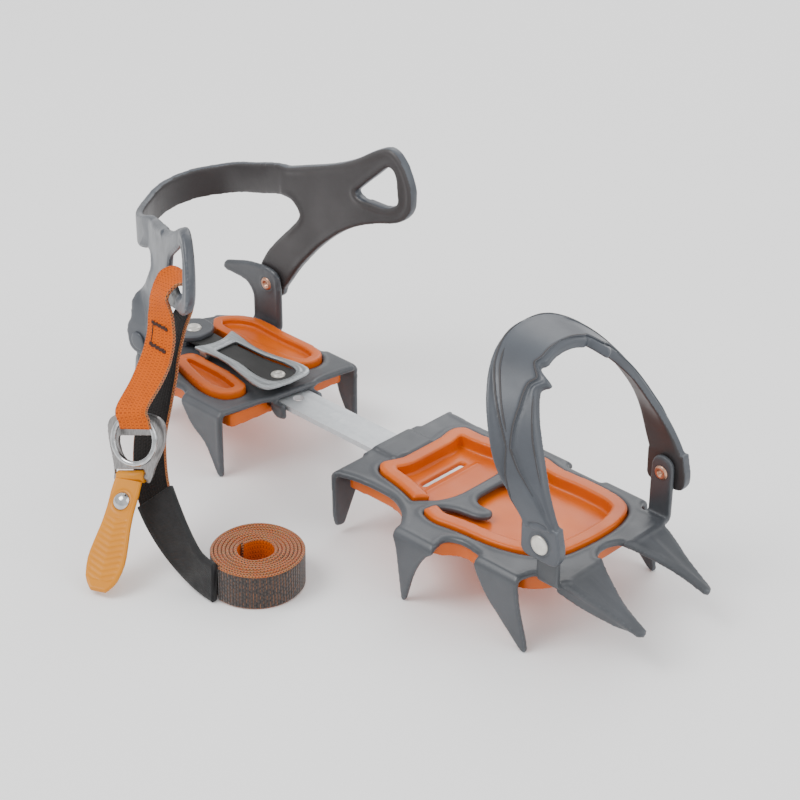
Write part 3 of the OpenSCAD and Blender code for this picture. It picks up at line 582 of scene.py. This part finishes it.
def side_stitches(name, z0, z1, s):
    verts, faces = [], []
    ids = [i for i in range(len(fc)) if z1 <= fc[i, 2] <= z0 and fc[i, 1] < -86]
    for i in ids[::2]:
        p = fc[i] + fa[i] * s * 10 + fn_[i] * 1.05
        stitch(verts, faces, p, fa[i] * 0.25, run_way(i) * 0.8, ((fn_[i] * -0.2, 1.0), (fn_[i] * 0.25, 0.7)))
    return add(name, verts, faces, [thread_mat])


for piece in (tack("bar_tack_upper", 114.5, 5.6, 0.5), tack("bar_tack_lower", 104.5, 5.6, 0.5),
              side_stitches("bar_tack_line", 114, 105, -0.52)):
    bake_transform(piece)

# ------------------------------------------------------------------ steel frames
def sheet_edges(height, width):
    def fn(co, d, n):
        dist, face = edge_distance(co, n, lambda v: (np.abs(v) > 0.8).any(axis=1))
        return height * bell(dist - width * 0.55, width * 0.45) * face
    return fn


def front_emboss(co, d, n):
    dist, face = edge_distance(co, n, lambda v: np.abs(v).max(axis=1) > 0.80)
    top = n[:, 2] > 0.6
    h = 0.35 * bell(dist - 2.2, 1.3) * face * top
    # crease along the middle of each front point
    fwd = step(d[:, 0], 150, 158)
    mid = 25 + (d[:, 0] - 150) * 0.01
    off = np.abs(d[:, 1]) - mid
    h += fwd * (n[:, 2] > 0.4) * (0.5 * bell(off + 2, 1.6) - 0.25 * bell(off - 1.5, 1.8))
    return h


skin("front_frame", "front_frame_pressing", "front_section", steel_mat, 0.0007, 9, front_emboss, 2)
skin("heel_frame", "heel_frame_pressing", "heel_section", steel_mat, 0.0007, 9, sheet_edges(0.3, 2.6), 2)


# ------------------------------------------------------------------ orange plates
def plate_emboss(co, d, n):
    h = np.zeros(len(co))
    top = n[:, 2] > 0.5
    # ridge across the floor of the rear pocket and soft dish of the front one
    h += top * (d[:, 2] < 38) * 0.6 * bell(d[:, 0] - 44, 1.2) * (np.abs(d[:, 1]) < 20)
    h += top * (d[:, 2] > 38) * 0.5
    return h


skin("front_antiball_plate", "front_snow_plate", "front_section", orange_mat, 0.0007, 5, plate_emboss, 3)
skin("heel_antiball_plate", "heel_snow_plate", "heel_section", orange_mat, 0.0007, 6,
     lambda co, d, n: 0.5 * (n[:, 2] > 0.5) * (d[:, 2] > 38), 3)

# ------------------------------------------------------------------ toe bail
ARM = 48.6
BAIL_T = 5.0


def rise(a):
    return abs(math.sin(a)) ** (2 / 2.2)


def arch_side(a):
    c = math.cos(a)
    return -math.copysign(abs(c) ** (2 / 2.2), c)


def settle(p):
    k = ease((p[2] - 70) / 34) if abs(p[1]) > 30 else 1
    return np.array([p[0], math.copysign(ARM + (abs(p[1]) - ARM) * k, p[1]), p[2]])


def rear_arch(a):
    h = rise(a)
    return settle(np.array([135.5 - 48 * h + 7 * h * (1 - h), 56.5 * arch_side(a), 68 + 73 * h]))


def front_arch(a):
    h = rise(a)
    return settle(np.array([154.5 - 40 * h + 4 * h * (1 - h), 45.5 * arch_side(a), 71 + 67 * h]))


def inward(p, d):
    s = min(1, abs(p[1]) / 38)
    r = math.sqrt(1 - s * s * 0.98)
    return p + d * np.array([0.1 * r, -math.copysign(s, p[1]), -r])


# Creases of the outer face, as (degrees round the arch, share of the way to the front edge).
REAR_CREASE = ((1, 0.02), (9, 0.06), (21, 0.27), (28, 0.38), (33, 0.35), (45, 0.25), (60, 0.13), (75, 0.08),
               (90, 0.07))
FRONT_CREASE = ((1, 0.93), (4, 0.84), (12, 0.70), (21, 0.53), (28, 0.45), (37, 0.57), (45, 0.70), (61, 0.86),
                (75, 0.90), (90, 0.91))


def along(table, a):
    a = min(a, 180 - a)
    return float(np.interp(a, [r[0] for r in table], [r[1] for r in table]))


def front_extra(a):
    """How far the front edge stands ahead of the plain arch: a hook on each half."""
    return sum(5.4 * math.exp(-((b - 61.5) / 3.4) ** 2) - 2.6 * math.exp(-((b - 69.5) / 2.8) ** 2)
               for b in (a, 180 - a))


def toe_point(deg, t):
    """Point of the toe bail's outer face, and the way into the material there."""
    a = math.radians(deg)
    r, f = rear_arch(a), front_arch(a)
    w = np.linalg.norm(f - r)
    c1, c2 = along(REAR_CREASE, deg), along(FRONT_CREASE, deg)
    p = r + (f - r) * (t + front_extra(deg) / w * step(np.array([t]), 0.72, 1.0)[0])
    d = inward(p, 1.0) - p
    at = t * w
    h = 0.55 * math.exp(-((at - 1.6) / 1.3) ** 2) + 0.55 * math.exp(-((w - at - 1.6) / 1.3) ** 2)
    h += step(np.array([(t - c1) * w]), -0.6, 0.6)[0] * step(np.array([(c2 - t) * w]), -0.6, 0.6)[0]
    for from_groove in ((t - c1) * w + 1.1, (t - c2) * w - 1.1):
        h -= 0.6 * math.exp(-(from_groove / 0.7) ** 2)
    edge = min(at, w - at)
    h -= 0.9 * math.exp(-edge / 0.8)
    return p - d * (h - 0.2), p + d * (BAIL_T - 0.9 * math.exp(-edge / 1.0)), d


def cord_line(points, out, radius, sides=10):
    """A moulded line: a thin tube sunk in a face, fading out at both ends."""
    pts = [np.array(p, float) for p in points]
    verts, faces = [], []
    for i, p in enumerate(pts):
        d = pts[min(i + 1, len(pts) - 1)] - pts[max(i - 1, 0)]
        d /= np.linalg.norm(d)
        o = np.array(out[i], float)
        o -= d * np.dot(o, d)
        o /= np.linalg.norm(o)
        side = np.cross(d, o)
        k = radius * min(1.0, 0.15 + min(i, len(pts) - 1 - i) / 8)
        for j in range(sides):
            b = 2 * math.pi * j / sides
            verts.append(P(*(p + (side * math.cos(b) + o * math.sin(b)) * k)))
    for i in range(len(pts) - 1):
        for j in range(sides):
            q, w = i * sides + j, i * sides + (j + 1) % sides
            faces.append((q, w, w + sides, q + sides))
    faces.append(tuple(range(sides - 1, -1, -1)))
    faces.append(tuple((len(pts) - 1) * sides + j for j in range(sides)))
    return verts, faces


def toe_line(table, radius, lift):
    """A ridge on the toe bail through (degrees, share) marks, on both halves."""
    made = []
    for far in (False, True):
        degs = np.linspace(table[0][0], table[-1][0], 70)
        pts, out = [], []
        for g in degs:
            t = float(np.interp(g, [r[0] for r in table], [r[1] for r in table]))
            p, _, d = toe_point(180 - g if far else g, t)
            pts.append(p - d * lift)
            out.append(-d)
        made.append(cord_line(pts, out, radius))
    return made


def toe_bail():
    n_a, n_t = 420, 44
    outer, inner = [], []
    for i in range(n_a + 1):
        deg = 1 + 178 * i / n_a
        row_o, row_i = [], []
        for j in range(n_t + 1):
            o_, i_, _ = toe_point(deg, j / n_t)
            row_o.append(o_)
            row_i.append(i_)
        outer.append(row_o)
        inner.append(row_i)
    verts = [P(*p) for rows in (outer, inner) for row in rows for p in row]
    m = n_t + 1
    off = (n_a + 1) * m
    faces = []
    for i in range(n_a):
        for j in range(n_t):
            q = i * m + j
            faces.append((q, q + 1, q + m + 1, q + m))
            faces.append((off + q, off + q + m, off + q + m + 1, off + q + 1))
        for j in (0, n_t):
            q = i * m + j
            f = (q, q + m, off + q + m, off + q)
            faces.append(f if j == 0 else f[::-1])
    for i in (0, n_a):
        for j in range(n_t):
            q = i * m + j
            f = (q, off + q, off + q + 1, q + 1)
            faces.append(f if i == 0 else f[::-1])
    o = add("toe_bail_skin", verts, faces, [bail_mat])
    # blunt ends round the rivets
    end = [(-12, 8), (-12, -5.5), (-10.8, -7.8), (-8.5, -9), (7, -9), (9.6, -8), (11.2, -5.4), (11.8, -1.5),
           (11.4, 2.5), (10.3, 7), (9.8, 11), (-9.5, 10)]
    for s in (-1, 1):
        ya, yb = s * 43.6, s * (ARM + 0.2)
        v = [P(TOE_X + x, y, TOE_Z + z) for y in (ya, yb) for x, z in end]
        k = len(end)
        fs = [tuple(range(k)), tuple(reversed(range(k, 2 * k)))]
        fs += [(j, k + j, k + (j + 1) % k, (j + 1) % k) for j in range(k)]
        if s > 0:
            fs = [f[::-1] for f in fs]
        e = add("toe_end", v, fs, [bail_mat])
        join(o, e)
    remesh(o, 0.0006, 3)
    co, n = coords(o.data)
    d = design(co)
    # flat boss round each rivet, with a dark moat and a short moulded arc above it
    r = np.hypot(d[:, 0] - TOE_X, d[:, 2] - TOE_Z)
    outer_face = (np.abs(d[:, 1]) > 47) & (np.abs(n[:, 1]) > 0.6) & (r < 14)
    h = np.zeros(len(co))
    h -= outer_face * 0.5 * bell(r - 5.9, 0.55)
    ang = np.degrees(np.arctan2(d[:, 2] - TOE_Z, d[:, 0] - TOE_X))
    h -= outer_face * 0.9 * bell(r - 11.2, 0.6) * ((ang > 70) & (ang < 128))
    co = co + n * h[:, None] / 1000
    o.data.vertices.foreach_set("co", co.reshape(-1))
    o.data.update()
    o.data.materials.clear()
    o.data.materials.append(bail_mat)
    for table, radius, lift in ((REAR_CREASE, 0.55, 0.05), (FRONT_CREASE[2:], 0.6, 0.1),
                                (((34, 0.43), (42, 0.38), (51, 0.325), (60, 0.25), (70, 0.2)), 0.5, 0.0),
                                (((16, 0.955), (24, 0.935), (32, 0.925), (43, 0.95), (52, 0.96)), 0.45, 0.0)):
        for v, f in toe_line(table, radius, lift):
            join(o, add("ridge", v, f, [bail_mat]))
    # painted shade: faces of the toe bail looking in towards the boot, and down from the top of the arch,
    # take the darker plastic copy
    paint_shade(o, lambda c: np.stack([0.1 * (TOE_X - c[:, 0]), -c[:, 1], -1.1 * np.maximum(0, c[:, 2] - 78)], 1),
           bail_shade_mat)
    o.name = "toe_bail_moulding"
    return o


def paint_shade(o, toward, mat):
    """Gives the faces that look the way toward(centres) points their own material: a darker copy that paints
    shade on them.
    """
    me = o.data
    me.materials.append(mat)
    slot = len(me.materials) - 1
    n = np.zeros(len(me.polygons) * 3)
    c = np.zeros(len(me.polygons) * 3)
    me.polygons.foreach_get("normal", n)
    me.polygons.foreach_get("center", c)
    n, c = n.reshape(-1, 3), design(c.reshape(-1, 3))
    t = toward(c)
    t /= np.linalg.norm(t, axis=1)[:, None] + 1e-9
    me.polygons.foreach_set("material_index", np.where(np.sum(n * t, 1) > 0.5, slot, 0).astype(int).tolist())
    me.update()


def join(a, b):
    bpy.ops.object.select_all(action="DESELECT")
    b.select_set(True)
    a.select_set(True)
    bpy.context.view_layer.objects.active = a
    bpy.ops.object.join()
    return a


toe = toe_bail()
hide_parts("toe_bail")
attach(toe, "toe_bail_body")


# ------------------------------------------------------------------ heel bail
def heel_bail_emboss(co, d, n):
    dist, face = edge_distance(co, n, lambda v: np.abs(v[:, 1]) > 0.55)
    panel = face * step(d[:, 0], -131, -120) * step(d[:, 2], 74, 82)
    h = 0.8 * bell(dist - 2.0, 1.3) * panel
    # slope round the rear edge of the near window
    near = face & (d[:, 1] < -50) & (d[:, 0] > -100) & (d[:, 0] < -60) & (d[:, 2] > 128)
    h -= near * 1.8 * np.clip(1 - dist / 4.5, 0, 1)
    # moulded hollow low on the rear edge of the near side
    hollow = np.exp(-((d[:, 2] - 76) / 5) ** 2 - ((d[:, 1] + 48.5) / 1.6) ** 2)
    h -= (d[:, 1] < -40) * (n[:, 0] < -0.2) * 1.6 * hollow
    return h


def widen_near_side(o):
    """Carries the rear edge of the near side back under the end of the band."""
    co, _ = coords(o.data)
    d = design(co)
    k = (d[:, 1] < -38) * step(d[:, 2], 72, 90) * (1 - step(d[:, 2], 106, 121))
    edge = np.interp(d[:, 2], [60, 84.5, 104, 111.5, 118.5], [-148, -139.5, -120.5, -114.5, -120])
    back = k * step(-(d[:, 0] - edge), -14, 2) * 7.5
    co[:, 0] -= back / 1000
    co[:, 1] += 0.45 * back * step(d[:, 0], -140, -124) / 1000
    o.data.vertices.foreach_set("co", co.reshape(-1))
    o.data.update()
    blend = o.modifiers.new("ease", "SMOOTH")
    blend.factor = 0.5
    blend.iterations = 6
    bake(o)
    o.data.materials.clear()
    o.data.materials.append(bail_mat)


heel_bail = skin("heel_bail", "heel_bail_moulding", "heel_bail_body", bail_mat, 0.0008, 7,
                 heel_bail_emboss, 2)
widen_near_side(heel_bail)
# painted shade: faces of the heel bail looking inward and forward take the darker plastic copy
paint_shade(heel_bail, lambda c: np.stack([np.maximum(-125 - c[:, 0], 0.0), -c[:, 1], 0 * c[:, 2]], 1),
       bail_shade_mat)

# ------------------------------------------------------------------ heel hardware
skin("blade_clamp", "blade_clamp_body", "heel_section", steel_mat, 0.0005, 5)


def lever_emboss(co, d, n):
    dist, face = edge_distance(co, n, lambda v: np.abs(v[:, 2]) > 0.7)
    return 0.35 * bell(dist - 1.9, 1.3) * face * (n[:, 2] > 0)


skin("lock_lever", "lock_lever_strip", "lever_body", lever_mat, 0.0005, 5, lever_emboss, 1)


# ------------------------------------------------------------------ turned parts
def lathe(name, profile, place, mat, n=56):
    """profile: (radius, height) in millimetres from the axis; place: matrix in the frame."""
    verts, faces = [], []
    for k in range(n):
        a = 2 * math.pi * k / n
        for r, h in profile:
            verts.append(place @ Vector((r * math.cos(a) / 1000, r * math.sin(a) / 1000, h / 1000)))
    m = len(profile)
    for k in range(n):
        for j in range(m - 1):
            q, w = k * m + j, ((k + 1) % n) * m + j
            faces.append((q, w, w + 1, q + 1))
    o = add(name, verts, faces, [mat])
    clean = o.modifiers.new("weld", "WELD")
    clean.merge_threshold = 0.000002
    bake(o)
    return o


def on_y(x, y, z, sign):
    """A frame at a point whose own z axis looks along +y or -y."""
    return Matrix.Translation(P(x, y, z)) @ Matrix.Rotation(math.radians(-90 * sign), 4, "X")


def on_z(x, y, z):
    return Matrix.Translation(P(x, y, z))


HEAD = ((0, 1.5), (3.6, 1.45), (4.6, 1.25), (5.0, 0.8), (5.0, 0.0), (4.2, -0.3), (0, -0.3))
TAIL = ((0, -0.8), (1.5, -0.8), (1.5, 0.7), (2.2, 1.05), (3.1, 0.85), (3.8, 0.35), (3.85, -0.1), (2.5, -0.1),
        (2.4, -7), (0, -7))


def rivets(prefix, x, z, arm_in, lug_out, body, node):
    made = []
    for s, word in ((-1, "near"), (1, "far")):
        made.append(lathe(prefix + "_head_" + word, HEAD, on_y(x, s * (arm_in + 5.0), z, s), rivet_mat))
        made.append(lathe(prefix + "_tail_" + word, TAIL, on_y(x, s * (lug_out - 3.0), z, -s), copper_mat))
    for m in made:
        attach(m, body)
    for m in made:
        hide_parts(node)


rivets("toe_rivet", TOE_X, TOE_Z, 43.6, 43, "front_section", "toe_bail_rivets")
rivets("heel_rivet", HEEL_X, HEEL_Z, 45.6, 45, "heel_section", "heel_bail_rivets")
bpy.data.objects["heel_rivet_head_near"].data.materials[0] = bail_mat

BLADE_DOME = ((0, 1.1), (0.9, 1.1), (1.1, 1.35), (2.2, 1.3), (3.4, 0.8), (4.0, 0.1), (4.0, -0.1), (0, -0.1))
CLAMP_DOME = ((0, 0.8), (1.4, 0.8), (1.7, 1.1), (3.0, 1.05), (4.1, 0.6), (4.5, 0.0), (4.5, -0.2), (0, -0.2))
blade_dome = lathe("blade_rivet_head", BLADE_DOME, on_z(-84, 0, 43.9), rivet_mat)
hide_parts("blade_rivet")
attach(blade_dome, "heel_section")
clamp_dome = lathe("clamp_rivet_head", CLAMP_DOME, on_z(-152, 0, 46.9), rivet_mat)
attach(clamp_dome, "heel_section")
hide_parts("clamp_rivet")

# ------------------------------------------------------------------ buckle, ring and tab
def turn(degrees, axis):
    return Matrix.Rotation(math.radians(degrees), 4, axis)


BUCKLE = Matrix.Translation(P(-61, -118.5, 74)) @ turn(19, "Z") @ turn(80, "X") @ turn(13, "Z")
HINGE = BUCKLE @ Matrix.Translation((-0.0055, -0.0284, 0.001)) @ turn(-33, "X")
TAB = HINGE @ turn(-8, "Z")


def mm(m, x, y, z):
    return m @ Vector((x / 1000, y / 1000, z / 1000))


def ring_of(name, place, r, wire, mat):
    verts, faces = [], []
    n, k = 96, 20
    for i in range(n):
        a = 2 * math.pi * i / n
        for j in range(k):
            b = 2 * math.pi * j / k
            rr = r + wire / 2 * math.cos(b)
            verts.append(mm(place, rr * math.cos(a), rr * math.sin(a), wire / 2 * math.sin(b)))
    for i in range(n):
        after = (i + 1) % n
        for j in range(k):
            up = (j + 1) % k
            faces.append((i * k + j, after * k + j, after * k + up, i * k + up))
    return add(name, verts, faces, [mat])


RING = BUCKLE @ Matrix.Translation((0.0033, -0.0074, 0.0068)) @ turn(-12, "X")
ring = ring_of("buckle_wire_ring", RING, 12, 2.8, chrome_mat)
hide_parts("buckle_ring")
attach(ring, "ring_body")

skin("buckle_plate", "buckle_plate_pressing", "heel_section", buckle_mat, 0.0004, 4)

# Half width of the tab at distances from its hinge.
TAB_HALF = ((2.4, 7.8), (5, 8.0), (9, 8.2), (13, 8.05), (17, 8.0), (21, 8.15), (26, 8.6), (31, 9.4),
            (36, 10.2), (40, 10.8), (44, 11.0), (48, 10.6), (53, 9.4), (56, 7.6), (59.5, 4.4))


def pull_tab():
    ys = np.linspace(2.4, 59.5, 190)
    ws = np.interp(ys, [h[0] for h in TAB_HALF], [h[1] for h in TAB_HALF])
    cols = 36
    verts, faces = [], []
    for side in (1, -1):
        for y, w in zip(ys, ws):
            end = min(1.0, (59.9 - y) / 1.4)
            for j in range(cols + 1):
                s = j / cols * 2 - 1
                x = s * w
                edge = min(w - abs(x), 59.5 - y)
                h = 1.2 - 0.7 * math.exp(-edge / 0.7)
                if side > 0:
                    inset = w - 1.9 - abs(x)
                    wave = math.sin((y + 0.35 * abs(x)) * 2 * math.pi / 3.0)
                    rib = 0.34 * min(1, inset / 0.7) if 22 < y < 54 and inset > 0 and wave > 0.1 else 0.0
                    rim = 0.3 * math.exp(-((edge - 1.0) / 0.7) ** 2)
                    well = -0.3 * math.exp(-((math.hypot(x, y - 13.5) - 5.6) / 0.6) ** 2)
                    h += rib + rim + well
                verts.append(mm(TAB, x, -y, 1.8 + side * h * end))
    m = cols + 1
    n = len(ys)
    off = n * m
    for i in range(n - 1):
        for j in range(cols):
            q = i * m + j
            faces.append((q, q + m, q + m + 1, q + 1))
            faces.append((off + q, off + q + 1, off + q + m + 1, off + q + m))
        for j in (0, cols):
            q = i * m + j
            f = (q, off + q, off + q + m, q + m)
            faces.append(f if j == 0 else f[::-1])
    for i in (0, n - 1):
        for j in range(cols):
            q = i * m + j
            f = (q, q + 1, off + q + 1, off + q)
            faces.append(f if i == 0 else f[::-1])
    o = add("pull_tab_blade", verts, faces, [tab_mat])
    # the tab folds over the lowest bar of the plate
    roll_v, roll_f = [], []
    k = 28
    for i, x in enumerate((-7.7, -7.2, 7.2, 7.7)):
        for j in range(k):
            b = 2 * math.pi * j / k
            r = 3.2 - (0.45 if i in (0, 3) else 0)
            roll_v.append(mm(HINGE, x, r * math.cos(b), r * math.sin(b)))
    for i in range(3):
        for j in range(k):
            roll_f.append((i * k + j, i * k + (j + 1) % k, (i + 1) * k + (j + 1) % k, (i + 1) * k + j))
    roll_f.append(tuple(range(k - 1, -1, -1)))
    roll_f.append(tuple(3 * k + j for j in range(k)))
    join(o, add("roll", roll_v, roll_f, [tab_mat]))
    o.name = "pull_tab_moulding"
    return o


tab = pull_tab()
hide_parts("pull_tab")
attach(tab, "tab_body")
SNAP_DOME = ((0, 2.6), (1.3, 2.5), (2.8, 2.0), (3.9, 1.2), (4.5, 0.4), (4.75, 0.0), (4.75, -0.3), (0, -0.3))
SNAP_SOCKET = ((0, 1.0), (2.2, 1.0), (2.6, 1.5), (3.6, 1.5), (4.4, 0.7), (4.5, 0.0), (0, 0.0))
SNAP_Y = -0.0135
snap = lathe("snap_dome", SNAP_DOME, TAB @ Matrix.Translation((0, SNAP_Y, 0.0032)), chrome_mat)
snap_back = lathe("snap_socket", SNAP_SOCKET,
                  TAB @ Matrix.Translation((0, SNAP_Y, 0.0004)) @ turn(180, "X"), chrome_mat)
for s in (snap, snap_back):
    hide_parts("snap_rivet")
    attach(s, "tab_body")

# ------------------------------------------------------------------ CAD parts that stay
for node, mat in (("toe_bail_washers", washer_mat), ("heel_bail_washers", washer_mat), ("link_bar", bar_mat),
                  ("bar_end_stop", rivet_mat), ("lock_blade", blade_mat)):
    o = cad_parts[node]
    if not o.material_slots:
        o.data.materials.append(mat)
    for sl in o.material_slots:
        sl.material = mat


# ------------------------------------------------------------------ floor and light
def floor():
    s = 4.0
    me = bpy.data.meshes.new("floor")
    me.from_pydata([(-s, -s, 0), (s, -s, 0), (s, s, 0), (-s, s, 0)], [], [(0, 1, 2, 3)])
    o = bpy.data.objects.new("floor", me)
    bpy.context.scene.collection.objects.link(o)
    m = Mat("floor_paint")
    col = m.mix(m.noise(3, 2), (0.93, 0.93, 0.93, 1), (0.96, 0.96, 0.96, 1))
    me.materials.append(m.set(Base_Color=col, Roughness=0.6))


floor()
world = bpy.data.worlds.new("studio")
world.use_nodes = True
world.node_tree.nodes["Background"].inputs[0].default_value = (1, 1, 1, 1)
world.node_tree.nodes["Background"].inputs[1].default_value = 1.1
bpy.context.scene.world = world


def lamp(name, at, size, power, aim=(0, 0, 0.06)):
    data = bpy.data.lights.new(name, "AREA")
    data.size = size
    data.energy = power
    o = bpy.data.objects.new(name, data)
    o.location = at
    o.rotation_euler = (Vector(aim) - Vector(at)).to_track_quat("-Z", "Y").to_euler()
    bpy.context.scene.collection.objects.link(o)


lamp("key", (-0.5, -0.9, 1.5), 0.9, 20)
lamp("fill", (1.2, 0.4, 1.0), 1.2, 8)
lamp("back", (-0.6, 1.2, 1.1), 1.0, 7)
